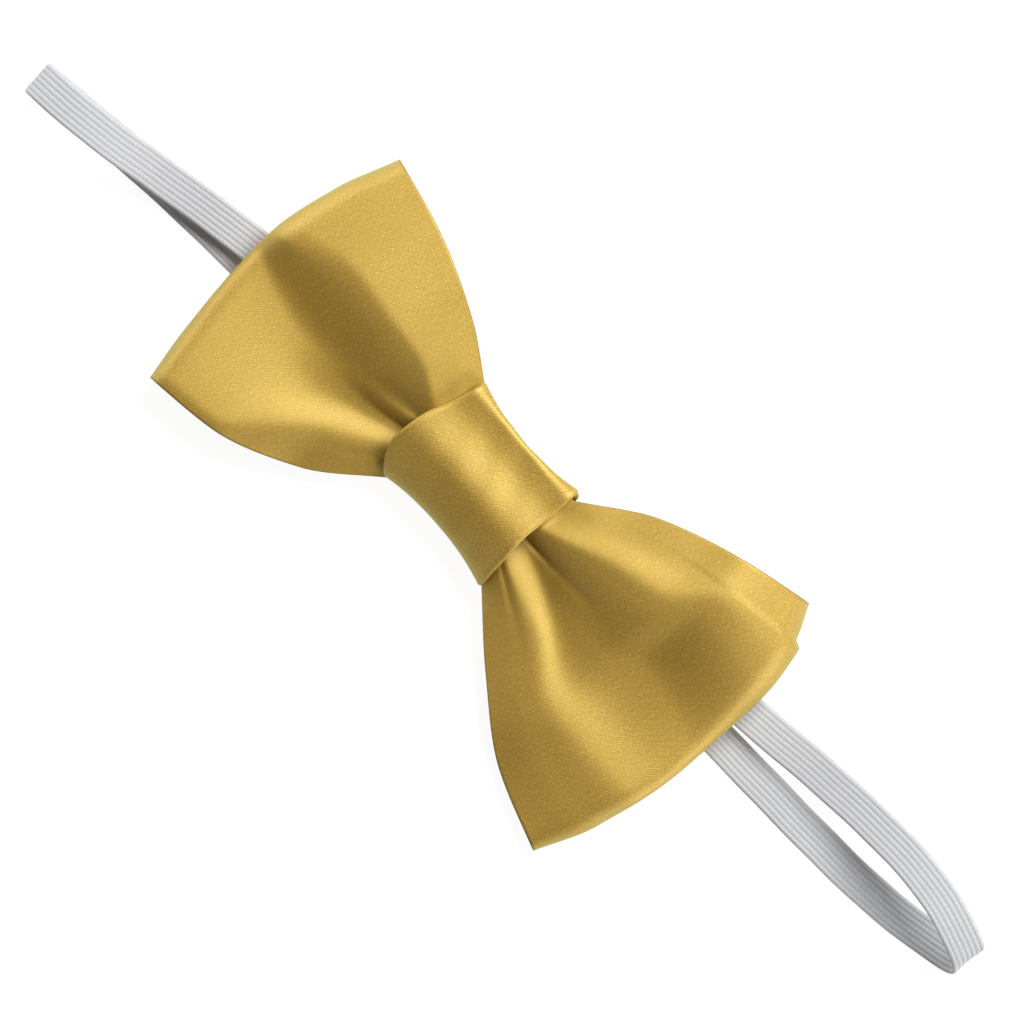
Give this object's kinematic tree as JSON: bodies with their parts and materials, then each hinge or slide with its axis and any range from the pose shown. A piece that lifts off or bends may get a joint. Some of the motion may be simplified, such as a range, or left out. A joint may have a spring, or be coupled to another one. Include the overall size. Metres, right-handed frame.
{
  "type": "pre-made gift bow",
  "caption": "Satin gift bow with two flat loops and a centre band, on a closed loop of flat elastic that slips over a gift.",
  "frame": {"origin": "on the resting plane, under the middle of the bow", "axes": "+X along the bow through both loops, +Z out of its front, +Y across it"},
  "size_m": [0.2037, 0.057, 0.017],
  "materials": {
    "wide_satin": "gold satin, woven, soft sheen",
    "sewing_thread": "matt polyester thread",
    "band_satin": "gold satin, woven, soft sheen",
    "glue": "set hot-melt glue",
    "braided_elastic": "white braided elastic, ribbed lengthwise",
    "white_thread": "matt white sewing thread"
  },
  "bodies": {
    "bow": {"bow_ribbon": "wide_satin", "gathering_thread": "sewing_thread", "centre_band": "band_satin", "band_glue": "glue"},
    "elastic": {"elastic_loop": "braided_elastic", "elastic_join_stitches": "white_thread"}
  },
  "joints": [
    {"name": "elastic_draw", "type": "slide", "parent": "bow", "child": "elastic", "axis": [0.9958, 0.0913, 0], "range_m": [-0.01, 0.01]}
  ]
}
